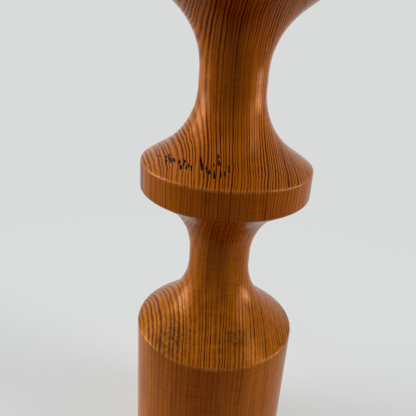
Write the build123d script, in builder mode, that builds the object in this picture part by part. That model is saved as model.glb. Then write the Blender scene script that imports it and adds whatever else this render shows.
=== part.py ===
from build123d import *
from math import radians, tan
import os

# A turned pine pricket candle stand, in millimetres.
# The origin is the middle of the foot on the table, and +Z runs up the turning axis.

# Turned profile: a straight flare runs out of every rim and a round cove carries it into the neck
base_diameter = 76.4
base_height = 84.0  # from the table to the base's arris
rim_diameter = 75.0  # of the collar, and of the plate turned to match it
collar_rim = 12.5  # height of the collar's flat rim
plate_thickness = 12.5
neck_diameter = 28.4
cove_radius = 31.0
collar_flare = 57.0  # degrees between the flares above and below the collar and the axis
end_flare = 51.0  # degrees between the flares at the base and under the plate and the axis
lower_neck_land = 4.9  # plain length of the neck between its two coves
upper_neck_land = 6.5
shoulder_ease = 0.5  # width taken off the arrises that face up
lip_ease = 0.8  # width taken off the arrises that face down
lip = 0.6  # how far a rim stands proud of the section glued under it
foot_chamfer = 1.0

# Felt pad, glued into a recess under the base
felt_diameter = 68.0
felt_thickness = 2.0
felt_recess = 1.2
felt_clearance = 0.3  # on the radius

# Fluted dowel between the base and the stem
dowel_diameter = 16.0
dowel_length = 52.0
dowel_clearance = 0.05  # on the radius
dowel_glue_room = 1.0  # past each end
dowel_chamfer = 1.5
flute_count = 8
flute_radius = 0.6

# Spigot that centres the plate on the stem
spigot_diameter = 32.0
spigot_height = 4.0
spigot_clearance = 0.1  # on the radius
spigot_end_room = 0.2

# Screw-in insert in the stem, with a slot for driving it
insert_diameter = 10.0
insert_length = 16.0
insert_clearance = 0.05  # on the radius, to the wood
insert_end_room = 4.0  # below the insert, for chips
insert_slot_width = 1.6
insert_slot_depth = 2.0
insert_chamfer = 1.0

# Pricket and the washer that it clamps the plate with
shank_diameter = 6.0
thread_clearance = 0.05  # on the radius, to the insert
shank_engagement = 12.0  # length of shank inside the insert
shank_chamfer = 0.8
washer_diameter = 14.0
washer_thickness = 0.8
washer_clearance = 0.3  # on the radius, to the shank
web_clearance = 0.4  # on the radius, between the shank and the plate
flange_diameter = 12.0
flange_thickness = 2.0
flange_across_flats = 10.0
counterbore_clearance = 0.6  # on the radius, round the washer
pan_gap = 0.3  # between the flange and the pan over it
register_diameter = 7.0
register_clearance = 0.3  # on the radius, to the pan's hole
register_stand = 0.5  # above the pan's floor
pin_diameter = 5.0
pin_length = 12.0
point_length = 28.0
tip_diameter = 0.8

# Drip pan, spun from sheet
pan_sheet = 0.8
pan_floor_diameter = 55.0
pan_corner = 4.0
pan_wall_spread = 4.4  # how far the wall leans out over its height
pan_wall_height = 6.0
pan_lip_width = 2.6

base_radius = base_diameter / 2
rim_radius = rim_diameter / 2
seat_radius = rim_radius - lip
neck_radius = neck_diameter / 2


def flare_height(radius, flare):
    """How far from the edge at this radius a straight flare, drawn on, meets the line of the neck."""
    return (radius - neck_radius) / tan(radians(flare))


def cove_height(radius, flare):
    """How far a flare and the cove that runs out of it reach along the axis."""
    return flare_height(radius, flare) + cove_radius * tan(radians(flare) / 2)


# Levels up the axis
foot_level = felt_thickness - felt_recess
lower_cove = cove_height(base_radius, end_flare) + cove_height(seat_radius, collar_flare)
collar_level = base_height + lower_cove + lower_neck_land
collar_top = collar_level + collar_rim
upper_cove = cove_height(rim_radius, collar_flare) + cove_height(seat_radius, end_flare)
plate_level = collar_top + upper_cove + upper_neck_land
plate_top = plate_level + plate_thickness
spigot_top = plate_level + spigot_height
washer_seat = plate_top - pan_gap - flange_thickness - washer_thickness
flange_level = washer_seat + washer_thickness
flange_top = flange_level + flange_thickness
shank_end = spigot_top - shank_engagement
register_top = plate_top + pan_sheet + register_stand
pin_top = register_top + pin_length
tip_level = pin_top + point_length

dowel_bore_radius = dowel_diameter / 2 + dowel_clearance
dowel_bore_depth = dowel_length / 2 + dowel_glue_room
washer_radius = washer_diameter / 2
shank_radius = shank_diameter / 2
register_radius = register_diameter / 2


# Felt pad under the base: the stand rests on its lower face
with BuildPart() as base_felt:
    with BuildSketch():
        Circle(felt_diameter / 2)
    extrude(amount=felt_thickness)


# Base section: the heavy foot, its shoulder, the lower neck and the cove up to the collar
with BuildPart() as base_section:
    with BuildSketch(Plane.XZ) as base_half:
        with BuildLine():
            base_outline = FilletPolyline(
                (base_radius, foot_level),
                (base_radius, base_height),
                (neck_radius, base_height + flare_height(base_radius, end_flare)),
                (neck_radius, collar_level - flare_height(seat_radius, collar_flare)),
                (seat_radius, collar_level),
                radius=(0, cove_radius, cove_radius),
            )
            Polyline(base_outline @ 1, (0, collar_level), (0, foot_level), base_outline @ 0)
        make_face()
        chamfer(base_half.vertices().sort_by_distance((base_radius, base_height))[0], length=shoulder_ease)
        chamfer(base_half.vertices().sort_by_distance((base_radius, foot_level))[0], length=foot_chamfer)
    revolve(axis=Axis.Z)
    with BuildSketch(Plane.XY.offset(foot_level)):
        Circle(felt_diameter / 2 + felt_clearance)
    extrude(amount=felt_recess, mode=Mode.SUBTRACT)
    with BuildSketch(Plane.XY.offset(collar_level)):
        Circle(dowel_bore_radius)
    extrude(amount=-dowel_bore_depth, mode=Mode.SUBTRACT)


# Dowel: glued half into the base and half into the stem, with flutes that let the glue out
with BuildPart() as column_dowel:
    with BuildSketch(Plane.XY.offset(collar_level - dowel_length / 2)):
        Circle(dowel_diameter / 2)
        with PolarLocations(dowel_diameter / 2, flute_count):
            Circle(flute_radius, mode=Mode.SUBTRACT)
    extrude(amount=dowel_length)
    with BuildSketch(Plane.XZ):
        with BuildLine():
            Polyline(
                (0, collar_level - dowel_length / 2),
                (dowel_diameter / 2 - dowel_chamfer, collar_level - dowel_length / 2),
                (dowel_diameter / 2, collar_level - dowel_length / 2 + dowel_chamfer),
                (dowel_diameter / 2, collar_level + dowel_length / 2 - dowel_chamfer),
                (dowel_diameter / 2 - dowel_chamfer, collar_level + dowel_length / 2),
                (0, collar_level + dowel_length / 2),
                close=True,
            )
        make_face()
    revolve(axis=Axis.Z, mode=Mode.INTERSECT)


# Stem section: the collar's rim, its sweep, the upper neck, the flare under the plate and a spigot
with BuildPart() as stem_section:
    with BuildSketch(Plane.XZ) as stem_half:
        with BuildLine():
            stem_outline = FilletPolyline(
                (0, collar_level),
                (rim_radius, collar_level),
                (rim_radius, collar_top),
                (neck_radius, collar_top + flare_height(rim_radius, collar_flare)),
                (neck_radius, plate_level - flare_height(seat_radius, end_flare)),
                (seat_radius, plate_level),
                (spigot_diameter / 2, plate_level),
                (spigot_diameter / 2, spigot_top),
                (0, spigot_top),
                radius=(0, 0, cove_radius, cove_radius, 0, 0, 0),
            )
            Line(stem_outline @ 1, stem_outline @ 0)
        make_face()
        chamfer(stem_half.vertices().sort_by_distance((rim_radius, collar_top))[0], length=shoulder_ease)
        chamfer(stem_half.vertices().sort_by_distance((rim_radius, collar_level))[0], length=lip_ease)
    revolve(axis=Axis.Z)
    with BuildSketch(Plane.XY.offset(collar_level)):
        Circle(dowel_bore_radius)
    extrude(amount=dowel_bore_depth, mode=Mode.SUBTRACT)
    with BuildSketch(Plane.XY.offset(spigot_top)):
        Circle(insert_diameter / 2 + insert_clearance)
    extrude(amount=-(insert_length + insert_end_room), mode=Mode.SUBTRACT)


# Candle plate: a turned disc like the collar's rim, socketed for the spigot and bored for the pricket
with BuildPart() as candle_plate:
    with BuildSketch(Plane.XY.offset(plate_level)):
        Circle(rim_radius)
    extrude(amount=plate_thickness)
    chamfer(candle_plate.edges().sort_by(Axis.Z)[-1], length=shoulder_ease)
    chamfer(candle_plate.edges().sort_by(Axis.Z)[0], length=lip_ease)
    with BuildSketch(Plane.XY.offset(plate_level)):
        Circle(spigot_diameter / 2 + spigot_clearance)
    extrude(amount=spigot_height + spigot_end_room, mode=Mode.SUBTRACT)
    with BuildSketch(Plane.XY.offset(plate_top)):
        Circle(shank_radius + web_clearance)
    extrude(amount=-plate_thickness, mode=Mode.SUBTRACT)
    with BuildSketch(Plane.XY.offset(washer_seat)):
        Circle(washer_radius + counterbore_clearance)
    extrude(amount=plate_top - washer_seat, mode=Mode.SUBTRACT)


# Threaded insert: screwed into the stem's end grain, flush with the spigot
with BuildPart() as threaded_insert:
    with BuildSketch(Plane.XY.offset(spigot_top)):
        Circle(insert_diameter / 2)
    extrude(amount=-insert_length)
    chamfer(threaded_insert.edges().sort_by(Axis.Z)[0], length=insert_chamfer)
    with BuildSketch(Plane.XY.offset(spigot_top)):
        Circle(shank_radius + thread_clearance)
    extrude(amount=-insert_length, mode=Mode.SUBTRACT)
    with BuildSketch(Plane.XY.offset(spigot_top)):
        Rectangle(insert_diameter + insert_clearance, insert_slot_width)
    extrude(amount=-insert_slot_depth, mode=Mode.SUBTRACT)


# Washer: kept on the pricket's shank, under its flange
with BuildPart() as spike_washer:
    with BuildSketch(Plane.XY.offset(washer_seat)):
        Circle(washer_radius)
        Circle(shank_radius + washer_clearance, mode=Mode.SUBTRACT)
    extrude(amount=washer_thickness)


# Pricket: turned in one piece from the screw shank to the point, with two flats for a spanner
with BuildPart() as pricket_spike:
    with BuildSketch(Plane.XZ):
        with BuildLine():
            Polyline(
                (0, shank_end),
                (shank_radius - shank_chamfer, shank_end),
                (shank_radius, shank_end + shank_chamfer),
                (shank_radius, flange_level),
                (flange_diameter / 2, flange_level),
                (flange_diameter / 2, flange_top),
                (register_radius, flange_top),
                (register_radius, register_top),
                (pin_diameter / 2, register_top),
                (pin_diameter / 2, pin_top),
                (tip_diameter / 2, tip_level),
                (0, tip_level),
                close=True,
            )
        make_face()
    revolve(axis=Axis.Z)
    with BuildSketch(Plane.XY.offset(flange_level)):
        Circle(flange_diameter / 2)
        Rectangle(flange_diameter, flange_across_flats, mode=Mode.SUBTRACT)
    extrude(amount=flange_thickness, mode=Mode.SUBTRACT)


# Drip pan: spun from one disc of sheet, its wall leaning out to a flat lip
pan_lip_inside = pan_floor_diameter / 2 + pan_wall_spread
with BuildPart() as drip_pan:
    with BuildSketch(Plane.XZ):
        with BuildLine():
            FilletPolyline(
                (register_radius + register_clearance, plate_top),
                (pan_floor_diameter / 2, plate_top),
                (pan_lip_inside, plate_top + pan_wall_height),
                (pan_lip_inside + pan_lip_width, plate_top + pan_wall_height),
                radius=(pan_corner, 0),
            )
            offset(amount=pan_sheet, side=Side.LEFT, kind=Kind.INTERSECTION)
        make_face()
    revolve(axis=Axis.Z)


pieces = {
    "base_felt": base_felt,
    "base_section": base_section,
    "column_dowel": column_dowel,
    "stem_section": stem_section,
    "candle_plate": candle_plate,
    "threaded_insert": threaded_insert,
    "spike_washer": spike_washer,
    "pricket_spike": pricket_spike,
    "drip_pan": drip_pan,
}

os.makedirs("parts", exist_ok=True)
for name, piece in pieces.items():
    piece.part.label = name
    export_step(piece.part, f"parts/{name}.step")
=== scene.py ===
from math import cos, pi, radians, sin, tan

import bmesh
import bpy
from mathutils import Matrix, Vector
from mathutils.bvhtree import BVHTree
from mathutils.kdtree import KDTree


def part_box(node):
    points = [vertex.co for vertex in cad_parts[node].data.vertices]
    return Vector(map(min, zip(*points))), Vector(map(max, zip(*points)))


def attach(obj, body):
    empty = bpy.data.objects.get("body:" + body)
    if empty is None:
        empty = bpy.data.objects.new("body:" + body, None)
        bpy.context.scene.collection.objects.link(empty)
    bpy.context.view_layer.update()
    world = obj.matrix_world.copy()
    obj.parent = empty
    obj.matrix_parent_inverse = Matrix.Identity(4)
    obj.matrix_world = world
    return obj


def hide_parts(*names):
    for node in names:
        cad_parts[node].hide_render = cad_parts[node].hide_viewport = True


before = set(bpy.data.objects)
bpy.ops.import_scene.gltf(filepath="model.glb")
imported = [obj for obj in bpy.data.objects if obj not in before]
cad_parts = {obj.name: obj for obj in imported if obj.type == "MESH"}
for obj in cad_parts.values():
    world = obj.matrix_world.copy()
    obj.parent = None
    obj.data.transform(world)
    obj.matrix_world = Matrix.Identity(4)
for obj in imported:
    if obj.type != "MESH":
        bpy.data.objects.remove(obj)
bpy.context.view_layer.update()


# View: a close-up from a little above the collar, looking down the front of the stand, which faces -Y.
# The camera is held in the hand, so it is turned and tilted a little.
mm = 0.001
collar_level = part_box("stem_section")[0].z
collar_rim = 12.5 * mm
collar_top = collar_level + collar_rim
eye = Vector((0, -200.36 * mm, collar_top + 64.76 * mm))
view_turn = radians(1.95)
view_dip = radians(23.75)
view_tilt = radians(3.83)
focal_pixels = 478.97
frame_pixels = 416
sensor_width = 36

camera = bpy.data.objects.new("view", bpy.data.cameras.new("view"))
camera.data.sensor_width = sensor_width
camera.data.lens = focal_pixels / frame_pixels * sensor_width
camera.data.clip_start = 10 * mm
camera.matrix_world = (
    Matrix.Translation(eye)
    @ Matrix.Rotation(view_turn, 4, "Z")
    @ Matrix.Rotation(pi / 2 - view_dip, 4, "X")
    @ Matrix.Rotation(view_tilt, 4, "Z")
)
bpy.context.scene.collection.objects.link(camera)
bpy.context.scene.camera = camera


# Base section: the heavy foot, its shoulder, the lower neck and the cove that widens to the collar.
# It is turned from slow-grown pine and finished with a satin varnish that has aged to amber.
# Its foot is recessed for the felt, and its top is bored for the dowel.
neck_radius = 14.2 * mm
cove_radius = 31 * mm
collar_flare = 57
end_flare = 51
lip = 0.6 * mm
shoulder_round = 0.7 * mm
lip_round = 1.0 * mm
rim_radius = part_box("stem_section")[1].x
seat_radius = rim_radius - lip
base_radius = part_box("base_section")[1].x
base_height = 84 * mm
foot_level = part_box("base_section")[0].z
foot_round = 1.2 * mm
recess_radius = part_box("base_felt")[1].x + 0.3 * mm
recess_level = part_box("base_felt")[1].z
dowel_bore = 8.05 * mm
dowel_depth = 27 * mm
pine_pith = (-147, -42)
arris_wear_and_highlight = 1.3
outline_step = 1.5 * mm
base_tears = [(182, 335), (172, 338), (165, 333), (177, 343), (284, 344), (284, 347), (284, 350)]
base_tear_length = 0.9 * mm
base_tear_depth = 0.3 * mm
base_scuffs = [((168, 340), 13 * mm), ((236, 338), 8 * mm)]


def start_outline(radius, level):
    """A new mesh and the first point of a turned outline, drawn in the XZ plane."""
    bm = bmesh.new()
    return bm, bm.verts.new((radius, 0, level))


def line_to(bm, tip, radius, level):
    """Draws the outline on, straight, and returns its new tip."""
    tip = bmesh.ops.extrude_vert_indiv(bm, verts=[tip])["verts"][0]
    tip.co = (radius, 0, level)
    return tip


def arc_about(bm, tip, radius, level, degrees, steps):
    """Draws the outline on, round a centre, and returns its new tip."""
    arc = bmesh.ops.spin(
        bm, geom=[tip], cent=(radius, 0, level), axis=(0, 1, 0), angle=radians(degrees), steps=steps
    )
    return arc["geom_last"][0]


def waist_to(bm, tip, flare_in, radius, level, flare_out, steps):
    """Draws a waist: a flare in from the tip, a cove, the neck, a cove and a flare out to a rim."""
    corner = tip.co.z + (tip.co.x - neck_radius) / tan(radians(flare_in))
    reach = cove_radius * tan(radians(flare_in / 2))
    tip = line_to(
        bm, tip, neck_radius + reach * sin(radians(flare_in)), corner - reach * cos(radians(flare_in))
    )
    tip = arc_about(bm, tip, neck_radius + cove_radius, corner + reach, flare_in, steps)
    corner = level - (radius - neck_radius) / tan(radians(flare_out))
    reach = cove_radius * tan(radians(flare_out / 2))
    tip = line_to(bm, tip, neck_radius, corner - reach)
    tip = arc_about(bm, tip, neck_radius + cove_radius, corner - reach, flare_out, steps)
    return line_to(bm, tip, radius, level)


def round_corner(bm, corner, size, segments=5):
    """Rounds one corner of an outline."""
    bmesh.ops.bevel(
        bm, geom=[corner], offset=size, segments=segments, profile=0.5, affect="VERTICES", material=-1
    )


def divide_outline(bm, longest):
    """Divides the long straight runs of an outline, so that the surface spun from it can be worked on."""
    for edge in [edge for edge in bm.edges if edge.calc_length() > longest]:
        bmesh.ops.subdivide_edges(bm, edges=[edge], cuts=int(edge.calc_length() / longest))


def turn(bm, steps):
    """Spins an outline round the upright axis into a closed solid."""
    bmesh.ops.spin(
        bm,
        geom=bm.verts[:] + bm.edges[:],
        cent=(0, 0, 0),
        axis=(0, 0, 1),
        angle=2 * pi,
        steps=steps,
        use_merge=True,
    )
    bmesh.ops.remove_doubles(bm, verts=bm.verts[:], dist=0.001 * mm)
    bmesh.ops.recalc_face_normals(bm, faces=bm.faces[:])


def fit_piece(bm, name, material, body, node):
    """Makes the mesh an object with crisp corners that rides on its body and stands for its solid."""
    crisp = radians(30)
    for face in bm.faces:
        face.smooth = True
    for edge in bm.edges:
        edge.smooth = edge.calc_face_angle(0) < crisp
    mesh = bpy.data.meshes.new(name)
    bm.to_mesh(mesh)
    bm.free()
    mesh.materials.append(material)
    piece = bpy.data.objects.new(name, mesh)
    bpy.context.scene.collection.objects.link(piece)
    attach(piece, body)
    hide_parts(node)
    return piece


class Wire:
    """A socket in a finish: arithmetic on it adds Math nodes, and node() adds a node of any other kind."""

    def __init__(self, tree, socket):
        self.tree = tree
        self.socket = socket

    def node(self, kind, settings, inputs, output=0):
        made = self.tree.nodes.new("ShaderNode" + kind)
        for name, value in settings.items():
            setattr(made, name, value)
        for name, value in inputs.items():
            if isinstance(value, Wire):
                self.tree.links.new(value.socket, made.inputs[name])
            else:
                made.inputs[name].default_value = value
        return Wire(self.tree, made.outputs[output]) if len(made.outputs) else None

    def math(self, operation, *values):
        return self.node("Math", {"operation": operation}, dict(enumerate(values)))

    def parts(self):
        return [self.node("SeparateXYZ", {}, {"Vector": self}, axis) for axis in "XYZ"]

    def __add__(self, other):
        return self.math("ADD", self, other)

    def __radd__(self, other):
        return self.math("ADD", other, self)

    def __sub__(self, other):
        return self.math("SUBTRACT", self, other)

    def __rsub__(self, other):
        return self.math("SUBTRACT", other, self)

    def __mul__(self, other):
        return self.math("MULTIPLY", self, other)

    def __rmul__(self, other):
        return self.math("MULTIPLY", other, self)

    def __pow__(self, other):
        return self.math("POWER", self, other)


def start_finish(name):
    """A new material and the wire of its piece's own coordinates, in millimetres."""
    material = bpy.data.materials.new(name)
    material.use_nodes = True
    material.node_tree.nodes.clear()
    place = Wire(material.node_tree, None).node("TexCoord", {}, {}, "Object")
    return material, place.node("VectorMath", {"operation": "SCALE"}, {"Vector": place, "Scale": 1 / mm})


def close_finish(place, sockets):
    """Feeds the finish's shader."""
    shader = place.node("BsdfPrincipled", {}, sockets)
    place.node("OutputMaterial", {}, {"Surface": shader})


def step_up(value, low, high):
    """0 below low, 1 above high, with a smooth rise between them."""
    return value.node(
        "MapRange",
        {"interpolation_type": "SMOOTHSTEP"},
        {"Value": value, "From Min": low, "From Max": high},
    )


def speckle(place, stretch, detail=2.0, roughness=0.5):
    """Noise of about 0 to 1 whose grains are 1 / stretch millimetres in x, y and z."""
    scaled = place.node("VectorMath", {"operation": "MULTIPLY"}, {0: place, 1: stretch})
    return place.node(
        "TexNoise", {}, {"Vector": scaled, "Scale": 1.0, "Detail": detail, "Roughness": roughness}
    )


def blend(factor, first, second):
    """Mixes two colours."""
    return factor.node("Mix", {"data_type": "RGBA"}, {0: factor, 6: first, 7: second}, 2)


def pine(name, earlywood, pith, ring_gain, contrast, tooling, arrises, scuffs=(), lie=(0, 0, 0)):
    """Varnished pine: rings round a pith outside the piece, fibres, tool marks, scuffs, and arrises painted
    paler as wear and highlight.

    The ring number grows with the square of the distance from the pith. The pith runs upright,
    unless the blank lies turned by some angles. Rings show most where the grain runs out of the surface.
    An arris is a radius, a level and the width in millimetres that is painted paler, partly as wear and
    partly as a highlight.
    """
    latewood = (0.085, 0.008, 0.0008, 1)
    wear_and_highlight = (0.48, 0.24, 0.08, 1)
    pitch_dark = (0.008, 0.003, 0.0012, 1)
    varnish_ior = 1.16
    varnish_tint = (1, 0.85, 0.5, 1)
    material, place = start_finish(name)
    x, y, z = place.parts()
    blank = place.node("Mapping", {}, {"Vector": place, "Rotation": lie})
    facing = place.node("TexCoord", {}, {}, "Normal")
    facing = place.node("Mapping", {}, {"Vector": facing, "Rotation": lie})
    blank_x, blank_y = blank.parts()[:2]
    wander = (speckle(blank, (0.03, 0.03, 0.008)) - 0.5) * 5
    wander = wander + (speckle(blank, (0.3, 0.3, 0.02)) - 0.5) * 0.6
    reach = ((blank_x - pith[0]) ** 2 + (blank_y - pith[1]) ** 2) ** 0.5 + wander
    count = reach * reach * ring_gain
    uneven = count.node("TexNoise", {"noise_dimensions": "1D"}, {"W": count, "Scale": 0.3})
    count = count + (uneven - 0.5) * 1.6
    share = count.math("FRACT", count)
    own = count.node("TexWhiteNoise", {"noise_dimensions": "1D"}, {"W": count.math("FLOOR", count)})
    late = step_up(share, 0.1 + 0.3 * own, 0.7) * (1 - step_up(share, 0.82, 1.0))
    late = late * (0.5 + 0.8 * own) * (0.5 + speckle(blank, (0.05, 0.05, 0.02), 1.0))
    runout = facing.parts()[2]
    runout = step_up(runout.math("ABSOLUTE", runout), 0.05, 0.85)
    late = 0.38 + (late - 0.38) * (0.32 + 0.68 * runout) * contrast
    fibre = speckle(blank, (2.5, 2.5, 0.1), 3.0, 0.7)
    fleck = step_up(speckle(blank, (2.6, 2.6, 0.35), 1.0), 0.66, 0.74)
    stain = speckle(blank, (0.06, 0.06, 0.03))
    streak = speckle(blank, (0.35, 0.35, 0.02))
    marks = speckle(place, (0.12, 0.12, 2.0), 3.0, 0.6)
    shade = late + (fibre - 0.5) * 0.8 + (streak - 0.5) * 0.7 + (marks - 0.5) * tooling
    colour = blend(shade, earlywood, latewood)
    colour = blend(fleck * 0.35, colour, latewood)
    colour = blend((0.75 - stain) * 0.35, colour, latewood)
    # Arrises painted paler: partly real wear, partly a painted highlight where the rounded edge catches the
    # light.
    wear_and_highlight_mask = 0.0
    for radius, level, width in arrises:
        radial = (x * x + y * y) ** 0.5 - radius / mm
        away = (radial * radial + (z - level / mm) ** 2) ** 0.5
        wear_and_highlight_mask = wear_and_highlight_mask + (1 - step_up(away, 0.2, width))
    wear_and_highlight_mask = wear_and_highlight_mask * step_up(speckle(place, (0.9, 0.9, 0.9), 3.0, 0.7), 0.42, 0.6)
    colour = blend(wear_and_highlight_mask * 0.4, colour, wear_and_highlight)
    dull = 0.0
    for spot, size in scuffs:
        away = place.node("VectorMath", {"operation": "DISTANCE"}, {0: place, 1: spot / mm}, "Value")
        dull = dull + (1 - step_up(away, 0.2 * size / mm, size / mm))
    dull = dull * step_up(speckle(blank, (0.8, 0.8, 0.4), 4.0, 0.7), 0.3, 0.68)
    colour = blend(dull * 0.72, colour, pitch_dark)
    pit = place.node("Attribute", {"attribute_name": "pit"}, {}, "Fac")
    colour = blend(step_up(pit, 0.02, 0.3), colour, pitch_dark)
    relief = late * 0.6 + fibre * 0.5 + marks * tooling
    grain = place.node("Bump", {}, {"Strength": 0.5, "Distance": 0.026 * mm, "Height": relief})
    close_finish(
        place,
        {
            "Base Color": colour,
            "Metallic": 0.02 + 0.14 * fibre,
            "Roughness": 0.17 + 0.14 * fibre + 0.3 * dull,
            "Normal": grain,
            "IOR": varnish_ior,
            "Specular Tint": varnish_tint,
        },
    )
    return material


def spot_in_view(surface, column, row):
    """The point of a surface that a pixel of the view shows, and the normal there."""
    middle = frame_pixels / 2
    ray = camera.matrix_world.to_3x3() @ Vector((column - middle, middle - row, -focal_pixels))
    return surface.ray_cast(eye, ray)[:2]


def tear_out(bm, pixels, pith, length, depth):
    """Tears a pit, drawn out along the growth rings, where each pixel of the view shows one."""
    slimness = 3.6
    torn = bm.verts.layers.float.get("pit") or bm.verts.layers.float.new("pit")
    surface = BVHTree.FromBMesh(bm)
    spots = []
    for number, pixel in enumerate(pixels):
        spot, normal = spot_in_view(surface, *pixel)
        along = normal.cross(spot - Vector((*pith, spot.z / mm)) * mm).normalized()
        spots.append((spot, normal, along, length * (0.6 + 0.6 * (number * 0.618 % 1))))
    bm.faces.ensure_lookup_table()
    near = {bm.faces[hit[2]] for spot in spots for hit in surface.find_nearest_range(spot[0], 2 * length)}
    edges = list({edge for face in near for edge in face.edges})
    bmesh.ops.subdivide_edges(bm, edges=edges, cuts=3, use_grid_fill=True)
    points = KDTree(len(bm.verts))
    for number, vert in enumerate(bm.verts):
        points.insert(vert.co, number)
    points.balance()
    bm.verts.ensure_lookup_table()
    for spot, normal, along, size in spots:
        for point, number, _ in points.find_range(spot, size):
            away = point - spot
            drawn = (away.dot(along) / size) ** 2 + (away.dot(normal.cross(along)) / size * slimness) ** 2
            if drawn < 1:
                bm.verts[number].co -= normal * depth * (1 - drawn)
                bm.verts[number][torn] = max(bm.verts[number][torn], 1 - drawn)


bm, tip = start_outline(0, recess_level)
tip = line_to(bm, tip, recess_radius, recess_level)
tip = line_to(bm, tip, recess_radius, foot_level)
foot_edge = tip = line_to(bm, tip, base_radius, foot_level)
base_arris = tip = line_to(bm, tip, base_radius, base_height)
tip = waist_to(bm, tip, end_flare, seat_radius, collar_level, collar_flare, steps=28)
tip = line_to(bm, tip, dowel_bore, collar_level)
tip = line_to(bm, tip, dowel_bore, collar_level - dowel_depth)
line_to(bm, tip, 0, collar_level - dowel_depth)
round_corner(bm, foot_edge, foot_round)
round_corner(bm, base_arris, shoulder_round)
divide_outline(bm, outline_step)
turn(bm, steps=256)
tear_out(bm, base_tears, pine_pith, base_tear_length, base_tear_depth)
surface = BVHTree.FromBMesh(bm)
scuffs = [(spot_in_view(surface, *pixel)[0], size) for pixel, size in base_scuffs]
base_pine = pine(
    "base_pine",
    earlywood=(0.45, 0.136, 0.003, 1),
    pith=pine_pith,
    ring_gain=0.0021,
    contrast=0.9,
    tooling=0.8,
    arrises=[(base_radius, base_height, arris_wear_and_highlight)],
    scuffs=scuffs,
)
fit_piece(bm, "turned_base", base_pine, "column", "base_section")


# Felt pad: a disc cut from pressed wool felt and glued into the recess under the foot.
# The stand rests on its lower face, whose cut edge is a little rounded.
felt_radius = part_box("base_felt")[1].x
felt_round = 0.5 * mm


def pressed_felt():
    """Wool felt: matted fibres in two greens, with a soft nap."""
    deep = (0.035, 0.075, 0.03, 1)
    pale = (0.10, 0.19, 0.085, 1)
    material, place = start_finish("pressed_felt")
    mat = speckle(place, (1.6, 1.6, 1.6), 4.0, 0.7)
    hairs = speckle(place, (6.0, 1.2, 3.0), 2.0, 0.6) + speckle(place, (1.2, 6.0, 3.0), 2.0, 0.6)
    colour = blend(step_up(mat + hairs * 0.5, 0.75, 1.25), deep, pale)
    nap = place.node("Bump", {}, {"Strength": 0.8, "Distance": 0.15 * mm, "Height": mat + hairs * 0.4})
    close_finish(
        place,
        {
            "Base Color": colour,
            "Roughness": 0.9,
            "Normal": nap,
            "Sheen Weight": 0.3,
            "Sheen Roughness": 0.5,
        },
    )
    return material


bm, tip = start_outline(0, 0)
felt_edges = [line_to(bm, tip, felt_radius, 0)]
felt_edges.append(line_to(bm, felt_edges[0], felt_radius, recess_level))
line_to(bm, felt_edges[1], 0, recess_level)
for corner in felt_edges:
    round_corner(bm, corner, felt_round)
turn(bm, steps=128)
felt_pad = fit_piece(bm, "felt_pad", pressed_felt(), "column", "base_felt")


# Dowel: a fluted beech dowel, glued half into the base and half into the stem.
# It keeps the solid's own shape and gets the look of raw beech.


def raw_beech():
    """Beech: pale, even wood with short dark flecks along the grain."""
    pale = (0.58, 0.36, 0.19, 1)
    rosy = (0.47, 0.25, 0.12, 1)
    ray = (0.22, 0.10, 0.04, 1)
    material, place = start_finish("raw_beech")
    streak = speckle(place, (0.7, 0.7, 0.04), 4.0, 0.6)
    fleck = step_up(speckle(place, (3.0, 3.0, 0.5), 1.0), 0.64, 0.70)
    colour = blend(fleck * 0.7, blend(streak, pale, rosy), ray)
    pores = place.node("Bump", {}, {"Strength": 0.4, "Distance": 0.05 * mm, "Height": streak - fleck * 0.5})
    close_finish(place, {"Base Color": colour, "Roughness": 0.55 + 0.15 * streak, "Normal": pores})
    return material


def refinish(node, material):
    """Gives a solid that keeps its own shape a new finish."""
    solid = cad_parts[node]
    solid.data.materials.clear()
    solid.data.materials.append(material)


refinish("column_dowel", raw_beech())


# Stem section: the collar's rim, its sweep, the upper neck, the flare under the plate and a spigot.
# It is turned from the same pine. The tool tore short pits out of the sweep where the grain runs out.
spigot_radius = 16 * mm
spigot_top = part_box("stem_section")[1].z
plate_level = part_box("candle_plate")[0].z
insert_bore = 5.05 * mm
insert_depth = 20 * mm
sweep_tears = [
    (159.5, 155.5), (166, 157), (169, 155), (169.6, 158.4), (166.4, 160.7), (175, 161), (179.6, 162),
    (185, 161), (180.8, 167), (186.5, 167.3), (191.3, 166.7), (201, 159.3), (202, 168.5),
    (206.6, 171.3), (209.5, 171.9), (214, 164.7), (219.2, 163), (218.6, 156), (214.6, 172.5),
    (214.6, 176.2), (220.7, 172.5), (225, 174.2), (229, 168), (201.6, 162.5), (202, 165.5),
    (188.7, 165), (191.4, 169.5), (174, 159.5), (206.3, 168), (220.6, 175), (229.3, 171), (184, 164),
    (171, 160.5),
]
sweep_tear_length = 1.5 * mm
sweep_tear_depth = 0.45 * mm
faint_tears = [(252, 171), (261, 168), (267, 165), (276, 171)]
faint_tear_length = 0.8 * mm
faint_tear_depth = 0.2 * mm
# The lower lips of the collar and the plate are painted paler: partly wear, partly a painted highlight where
# they catch light from below.
lip_wear_and_highlight = 1.2

bm, tip = start_outline(0, collar_level + dowel_depth)
tip = line_to(bm, tip, dowel_bore, collar_level + dowel_depth)
tip = line_to(bm, tip, dowel_bore, collar_level)
collar_lip = tip = line_to(bm, tip, rim_radius, collar_level)
collar_arris = tip = line_to(bm, tip, rim_radius, collar_top)
tip = waist_to(bm, tip, collar_flare, seat_radius, plate_level, end_flare, steps=28)
tip = line_to(bm, tip, spigot_radius, plate_level)
tip = line_to(bm, tip, spigot_radius, spigot_top)
tip = line_to(bm, tip, insert_bore, spigot_top)
tip = line_to(bm, tip, insert_bore, spigot_top - insert_depth)
line_to(bm, tip, 0, spigot_top - insert_depth)
round_corner(bm, collar_lip, lip_round)
round_corner(bm, collar_arris, shoulder_round)
divide_outline(bm, outline_step)
turn(bm, steps=256)
tear_out(bm, sweep_tears, pine_pith, sweep_tear_length, sweep_tear_depth)
tear_out(bm, faint_tears, pine_pith, faint_tear_length, faint_tear_depth)
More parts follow.
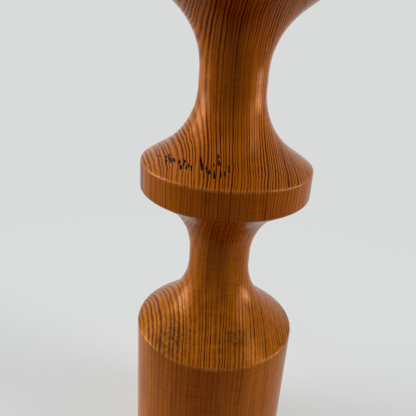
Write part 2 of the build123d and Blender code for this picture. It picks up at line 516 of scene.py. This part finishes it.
stem_pine = pine(
    "stem_pine",
    earlywood=(0.46, 0.126, 0.002, 1),
    pith=pine_pith,
    ring_gain=0.0028,
    contrast=1.6,
    tooling=0.5,
    arrises=[(rim_radius, collar_top, arris_wear_and_highlight), (rim_radius, collar_level, lip_wear_and_highlight)],
)
fit_piece(bm, "turned_stem", stem_pine, "column", "stem_section")


# Threaded insert: a slotted brass bush, screwed into the end of the stem, flush with its spigot.
# It keeps the solid's own shape.


def brass(name, bright, dull, ring_pitch):
    """Brass with fine rings left by the tool and a light, patchy tarnish."""
    material, place = start_finish(name)
    x, y, z = place.parts()
    radius = (x * x + y * y) ** 0.5
    across = place.node("CombineXYZ", {}, {"X": radius, "Y": z})
    rings = speckle(across, (1 / ring_pitch, 1 / ring_pitch, 1.0), 4.0, 0.7)
    patch = speckle(place, (0.09, 0.09, 0.09), 5.0, 0.6)
    spots = step_up(speckle(place, (0.8, 0.8, 0.8), 3.0, 0.6), 0.62, 0.72)
    tarnish = step_up(patch, 0.35, 0.75) * 0.7 + spots * 0.25 + (rings - 0.5) * 0.3
    colour = blend(tarnish, bright, dull)
    tooled = place.node("Bump", {}, {"Strength": 0.35, "Distance": 0.02 * mm, "Height": rings})
    close_finish(
        place,
        {
            "Base Color": colour,
            "Metallic": 1.0,
            "Roughness": 0.26 + 0.24 * tarnish + 0.1 * rings,
            "Normal": tooled,
        },
    )
    return material


turned_brass = brass(
    "turned_brass", bright=(0.76, 0.52, 0.20, 1), dull=(0.36, 0.21, 0.075, 1), ring_pitch=0.25
)
refinish("threaded_insert", turned_brass)


# Candle plate: a disc of the same pine, turned to match the collar and glued over the spigot.
# Its grain lies across the stand. A counterbore in its top takes the washer and the pricket's flange.
plate_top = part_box("candle_plate")[1].z
socket_radius = spigot_radius + 0.1 * mm
socket_top = spigot_top + 0.2 * mm
shank_hole = 3.4 * mm
washer_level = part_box("spike_washer")[0].z
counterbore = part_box("spike_washer")[1].x + 0.6 * mm
bore_round = 0.3 * mm
plate_pith = (14, -170)
plate_lie = (pi / 2, 0, 0)


def close_outline(bm, tip, start):
    """Joins the tip of an outline that stays clear of the axis to its first point."""
    bmesh.ops.contextual_create(bm, geom=[tip, start])


bm, tip = start_outline(shank_hole, socket_top)
start = tip
tip = line_to(bm, tip, socket_radius, socket_top)
tip = line_to(bm, tip, socket_radius, plate_level)
plate_lip = tip = line_to(bm, tip, rim_radius, plate_level)
plate_arris = tip = line_to(bm, tip, rim_radius, plate_top)
bore_arris = tip = line_to(bm, tip, counterbore, plate_top)
tip = line_to(bm, tip, counterbore, washer_level)
tip = line_to(bm, tip, shank_hole, washer_level)
close_outline(bm, tip, start)
round_corner(bm, plate_lip, lip_round)
round_corner(bm, plate_arris, shoulder_round)
round_corner(bm, bore_arris, bore_round)
turn(bm, steps=256)
plate_pine = pine(
    "plate_pine",
    earlywood=(0.45, 0.126, 0.002, 1),
    pith=plate_pith,
    ring_gain=0.0032,
    contrast=0.9,
    tooling=0.5,
    arrises=[(rim_radius, plate_top, arris_wear_and_highlight), (rim_radius, plate_level, lip_wear_and_highlight)],
    lie=plate_lie,
)
fit_piece(bm, "turned_plate", plate_pine, "column", "candle_plate")


# Washer: stamped from brass sheet, kept on the pricket's shank. It spreads the clamping over the wood.
# The stamping rounds its upper edges.
washer_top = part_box("spike_washer")[1].z
washer_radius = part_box("spike_washer")[1].x
washer_hole = 3.3 * mm
stamped_round = 0.25 * mm

bm, tip = start_outline(washer_hole, washer_level)
start = tip
tip = line_to(bm, tip, washer_radius, washer_level)
washer_edges = [line_to(bm, tip, washer_radius, washer_top)]
washer_edges.append(line_to(bm, washer_edges[0], washer_hole, washer_top))
close_outline(bm, washer_edges[1], start)
for corner in washer_edges:
    round_corner(bm, corner, stamped_round, segments=3)
turn(bm, steps=96)
fit_piece(bm, "stamped_washer", turned_brass, "washer", "spike_washer")


# Pricket: turned from one brass bar, from the screw shank to the point that the candle is pushed onto.
# Its flange has two flats for a spanner, and the register above it centres the drip pan.
shank_end, spike_tip = (corner.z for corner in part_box("pricket_spike"))
shank_radius = 3 * mm
thread_pitch = 1 * mm
thread_depth = 0.61 * mm
shank_chamfer = 0.8 * mm
relief_length = 1.2 * mm
flange_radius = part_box("pricket_spike")[1].x
flange_level = washer_top
flange_top = flange_level + 2 * mm
half_flats = 5 * mm
register_radius = 3.5 * mm
register_top = plate_top + 1.3 * mm
pin_radius = 2.5 * mm
pin_top = register_top + 12 * mm
tip_radius = 0.4 * mm
bar_round = 0.3 * mm


def trim(bm, point, outward):
    """Cuts off what lies beyond a plane and closes the cut."""
    cut = bmesh.ops.bisect_plane(
        bm, geom=bm.verts[:] + bm.edges[:] + bm.faces[:], plane_co=point, plane_no=outward, clear_outer=True
    )
    rim = [part for part in cut["geom_cut"] if isinstance(part, bmesh.types.BMEdge)]
    bmesh.ops.holes_fill(bm, edges=rim)


bm, tip = start_outline(0, flange_level - relief_length)
tip = line_to(bm, tip, shank_radius - thread_depth, flange_level - relief_length)
tip = line_to(bm, tip, shank_radius - thread_depth, flange_level)
rounded = [line_to(bm, tip, flange_radius, flange_level)]
rounded.append(line_to(bm, rounded[-1], flange_radius, flange_top))
tip = line_to(bm, rounded[-1], register_radius, flange_top)
rounded.append(line_to(bm, tip, register_radius, register_top))
tip = line_to(bm, rounded[-1], pin_radius, register_top)
rounded.append(line_to(bm, tip, pin_radius, pin_top))
rounded.append(line_to(bm, rounded[-1], tip_radius, spike_tip))
line_to(bm, rounded[-1], 0, spike_tip)
for corner in rounded:
    round_corner(bm, corner, bar_round, segments=3)
turn(bm, steps=96)
for side in (-1, 1):
    trim(bm, (0, side * half_flats, 0), (0, side, 0))

thread_turns = 20
thread_steps = 48
thread_root = shank_radius - thread_depth
thread_start = shank_end - 1.5 * thread_pitch
thread, tip = start_outline(thread_root, thread_start)
for radius, share in ((thread_root, 0.12), (shank_radius, 0.44), (shank_radius, 0.56), (thread_root, 0.88)):
    tip = line_to(thread, tip, radius, thread_start + share * thread_pitch)
line_to(thread, tip, thread_root, thread_start + thread_pitch)
bmesh.ops.spin(
    thread,
    geom=thread.verts[:] + thread.edges[:],
    cent=(0, 0, 0),
    axis=(0, 0, 1),
    dvec=(0, 0, thread_pitch / thread_steps),
    angle=2 * pi * thread_turns,
    steps=thread_steps * thread_turns,
)
bmesh.ops.remove_doubles(thread, verts=thread.verts[:], dist=0.001 * mm)
trim(thread, (0, 0, shank_end), (0, 0, -1))
trim(thread, (0, 0, flange_level - relief_length / 2), (0, 0, 1))
bmesh.ops.recalc_face_normals(thread, faces=thread.faces[:])
for vert in thread.verts:
    limit = shank_radius - shank_chamfer + vert.co.z - shank_end
    if vert.co.xy.length > limit:
        vert.co.xy *= limit / vert.co.xy.length
thread_mesh = bpy.data.meshes.new("thread")
thread.to_mesh(thread_mesh)
thread.free()
bm.from_mesh(thread_mesh)
bpy.data.meshes.remove(thread_mesh)
fit_piece(bm, "turned_pricket", turned_brass, "pricket", "pricket_spike")


# Drip pan: spun from one disc of brass sheet, its wall leaning out to a flat lip.
# It drops loosely over the spike and lies on the plate, and catches the wax.
pan_sheet = 0.8 * mm
pan_hole = register_radius + 0.3 * mm
pan_floor = 27.5 * mm
pan_lip_inside = pan_floor + 4.4 * mm
pan_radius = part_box("drip_pan")[1].x
pan_lip_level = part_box("drip_pan")[1].z - pan_sheet
pan_corner_size = 2.0 * mm
pan_bend_size = 0.5 * mm
pan_edge_round = 0.3 * mm

bm, tip = start_outline(pan_hole, plate_top)
pan_corner = line_to(bm, tip, pan_floor, plate_top)
pan_bend = line_to(bm, pan_corner, pan_lip_inside, pan_lip_level)
line_to(bm, pan_bend, pan_radius, pan_lip_level)
round_corner(bm, pan_corner, pan_corner_size, segments=8)
round_corner(bm, pan_bend, pan_bend_size, segments=4)
turn(bm, steps=192)
bmesh.ops.solidify(bm, geom=bm.faces[:], thickness=-pan_sheet)
bmesh.ops.recalc_face_normals(bm, faces=bm.faces[:])
sharp = [edge for edge in bm.edges if edge.calc_face_angle(0) > radians(60)]
bmesh.ops.bevel(
    bm, geom=sharp, offset=pan_edge_round, segments=3, profile=0.5, affect="EDGES", material=-1
)
spun_brass = brass(
    "spun_brass", bright=(0.80, 0.56, 0.22, 1), dull=(0.42, 0.25, 0.085, 1), ring_pitch=0.5
)
fit_piece(bm, "spun_pan", spun_brass, "pan", "drip_pan")


# Floor: a plain pale surface that runs out of sight, with the soft shadow of the stand on it.
# The camera and reflections see it evenly pale. The stand's other rays see it glow like a hidden lamp,
# strong beside the stand and dim and warm in front, over a brown bounce.
floor_radius = 700 * mm
floor_pale = (0.94, 0.97, 0.965, 1)
seen_near = (0.6, 0.63, 0.625, 1)
seen_far = (0.69, 0.71, 0.705, 1)
beside_near = (5.0, 3.6, 1.6, 1)
beside_far = (0.3, 0.3, 0.3, 1)
front_near = (1.0, 0.46, 0.15, 1)
front_far = (0.01, 0.003, 0.001, 1)
brown_bounce = (0.5, 0.22, 0.07, 1)
near_spread = 80.0
far_spread = 170.0
fade_start = 250.0
fade_end = 600.0
beside_from = radians(60)
beside_to = radians(95)
evenness = 0.55


def ray_is(place, kind):
    """1 on rays of one kind, 0 on all others."""
    return place.node("LightPath", {}, {}, f"Is {kind} Ray")


bm = bmesh.new()
bmesh.ops.create_circle(bm, cap_ends=True, radius=floor_radius, segments=128)
floor_mesh = bpy.data.meshes.new("floor")
bm.to_mesh(floor_mesh)
bm.free()
floor = bpy.data.objects.new("floor", floor_mesh)
bpy.context.scene.collection.objects.link(floor)
floor_paint, place = start_finish("floor_paint")
x, y = place.parts()[:2]
turned = x.math("ABSOLUTE", x.math("ARCTAN2", x, 0 - y))
spread = place.node("VectorMath", {"operation": "LENGTH"}, {0: place}, "Value")
away = step_up(spread, near_spread, far_spread)
beside = step_up(turned, beside_from, beside_to)
seen = ray_is(place, "Camera") + ray_is(place, "Glossy") + ray_is(place, "Transmission")
# Rays from the stand see the floor glow as a hidden lamp, and see its diffuse part brown instead of pale.
glow_on_stand = blend(beside, blend(away, front_near, front_far), blend(away, beside_near, beside_far))
edge = step_up(spread, fade_start, fade_end)
lit = place.node("BsdfDiffuse", {}, {"Color": blend(seen, brown_bounce, floor_pale)})
even_pale_and_glow = place.node("Emission", {}, {"Color": blend(seen, glow_on_stand, blend(edge, seen_near, seen_far))})
paint = place.node("MixShader", {}, {0: evenness + (1 - evenness) * edge, 1: lit, 2: even_pale_and_glow})
place.node("OutputMaterial", {}, {"Surface": paint})
floor_mesh.materials.append(floor_paint)


# Room: a low, bright window on either side, with a taller and dimmer one beside it for the highlights,
# a ceiling that dims to the right and a faint glow behind the stand. The side of the camera is dim and warm.
# The camera sees a pale wall all round, and reflections see that wall with the windows on it.
left_level = 8.6
right_level = 13.0
left_tall_window_level = 4.2
right_tall_window_level = 4.6
back_left_level = 0.6
back_level = 0.2
ceiling_level = 0.7
room_level = 0.03
cool = (1, 1, 1, 1)
warm = (1, 0.25, 0.06, 1)

world = bpy.data.worlds.new("room")
bpy.context.scene.world = world
world.use_nodes = True
world.node_tree.nodes.clear()
direction = Wire(world.node_tree, None).node("TexCoord", {}, {}, "Generated")
across, ahead, upward = direction.parts()
azimuth = across.math("ARCTAN2", across, 0 - ahead)
elevation = upward.math("ARCSINE", upward)


def between(value, low, high, soft):
    """1 from low to high degrees, with soft edges."""
    low, high, soft = radians(low), radians(high), radians(soft)
    return step_up(value, low - soft, low + soft) * (1 - step_up(value, high - soft, high + soft))


left_window = between(azimuth, -112, -85, 4) * between(elevation, -6, 26, 5)
right_window = between(azimuth, 82, 108, 4) * between(elevation, -9, 5, 4)
left_tall_window = between(azimuth, -93, -69, 5) * between(elevation, 4, 49, 5)
right_tall_window = between(azimuth, 63, 87, 5) * between(elevation, 3, 55, 5)
back_left = between(azimuth, -150, -112, 8) * between(elevation, 24, 66, 8)
ceiling = step_up(elevation, radians(42), radians(60)) * (1 - 0.6 * step_up(across, -0.1, 0.5))
light = room_level + ceiling * ceiling_level
light = light + step_up(ahead, 0.0, 0.4) * back_level + back_left * back_left_level
light = light + left_window * left_level + right_window * right_level
light = light + left_tall_window * left_tall_window_level + right_tall_window * right_tall_window_level
colour = blend(step_up(ahead, -0.75, -0.3), warm, cool)
backdrop = direction.node("Background", {}, {"Color": seen_far, "Strength": 1.0})
room = direction.node("Background", {}, {"Color": colour, "Strength": light})
mirrored = ray_is(direction, "Glossy") + ray_is(direction, "Transmission")
both = direction.node("AddShader", {}, {0: room, 1: backdrop})
room = direction.node("MixShader", {}, {0: mirrored, 1: room, 2: both})
room = direction.node("MixShader", {}, {0: ray_is(direction, "Camera"), 1: room, 2: backdrop})
direction.node("OutputWorld", {}, {"Surface": room})

bpy.context.scene.view_settings.view_transform = "Standard"
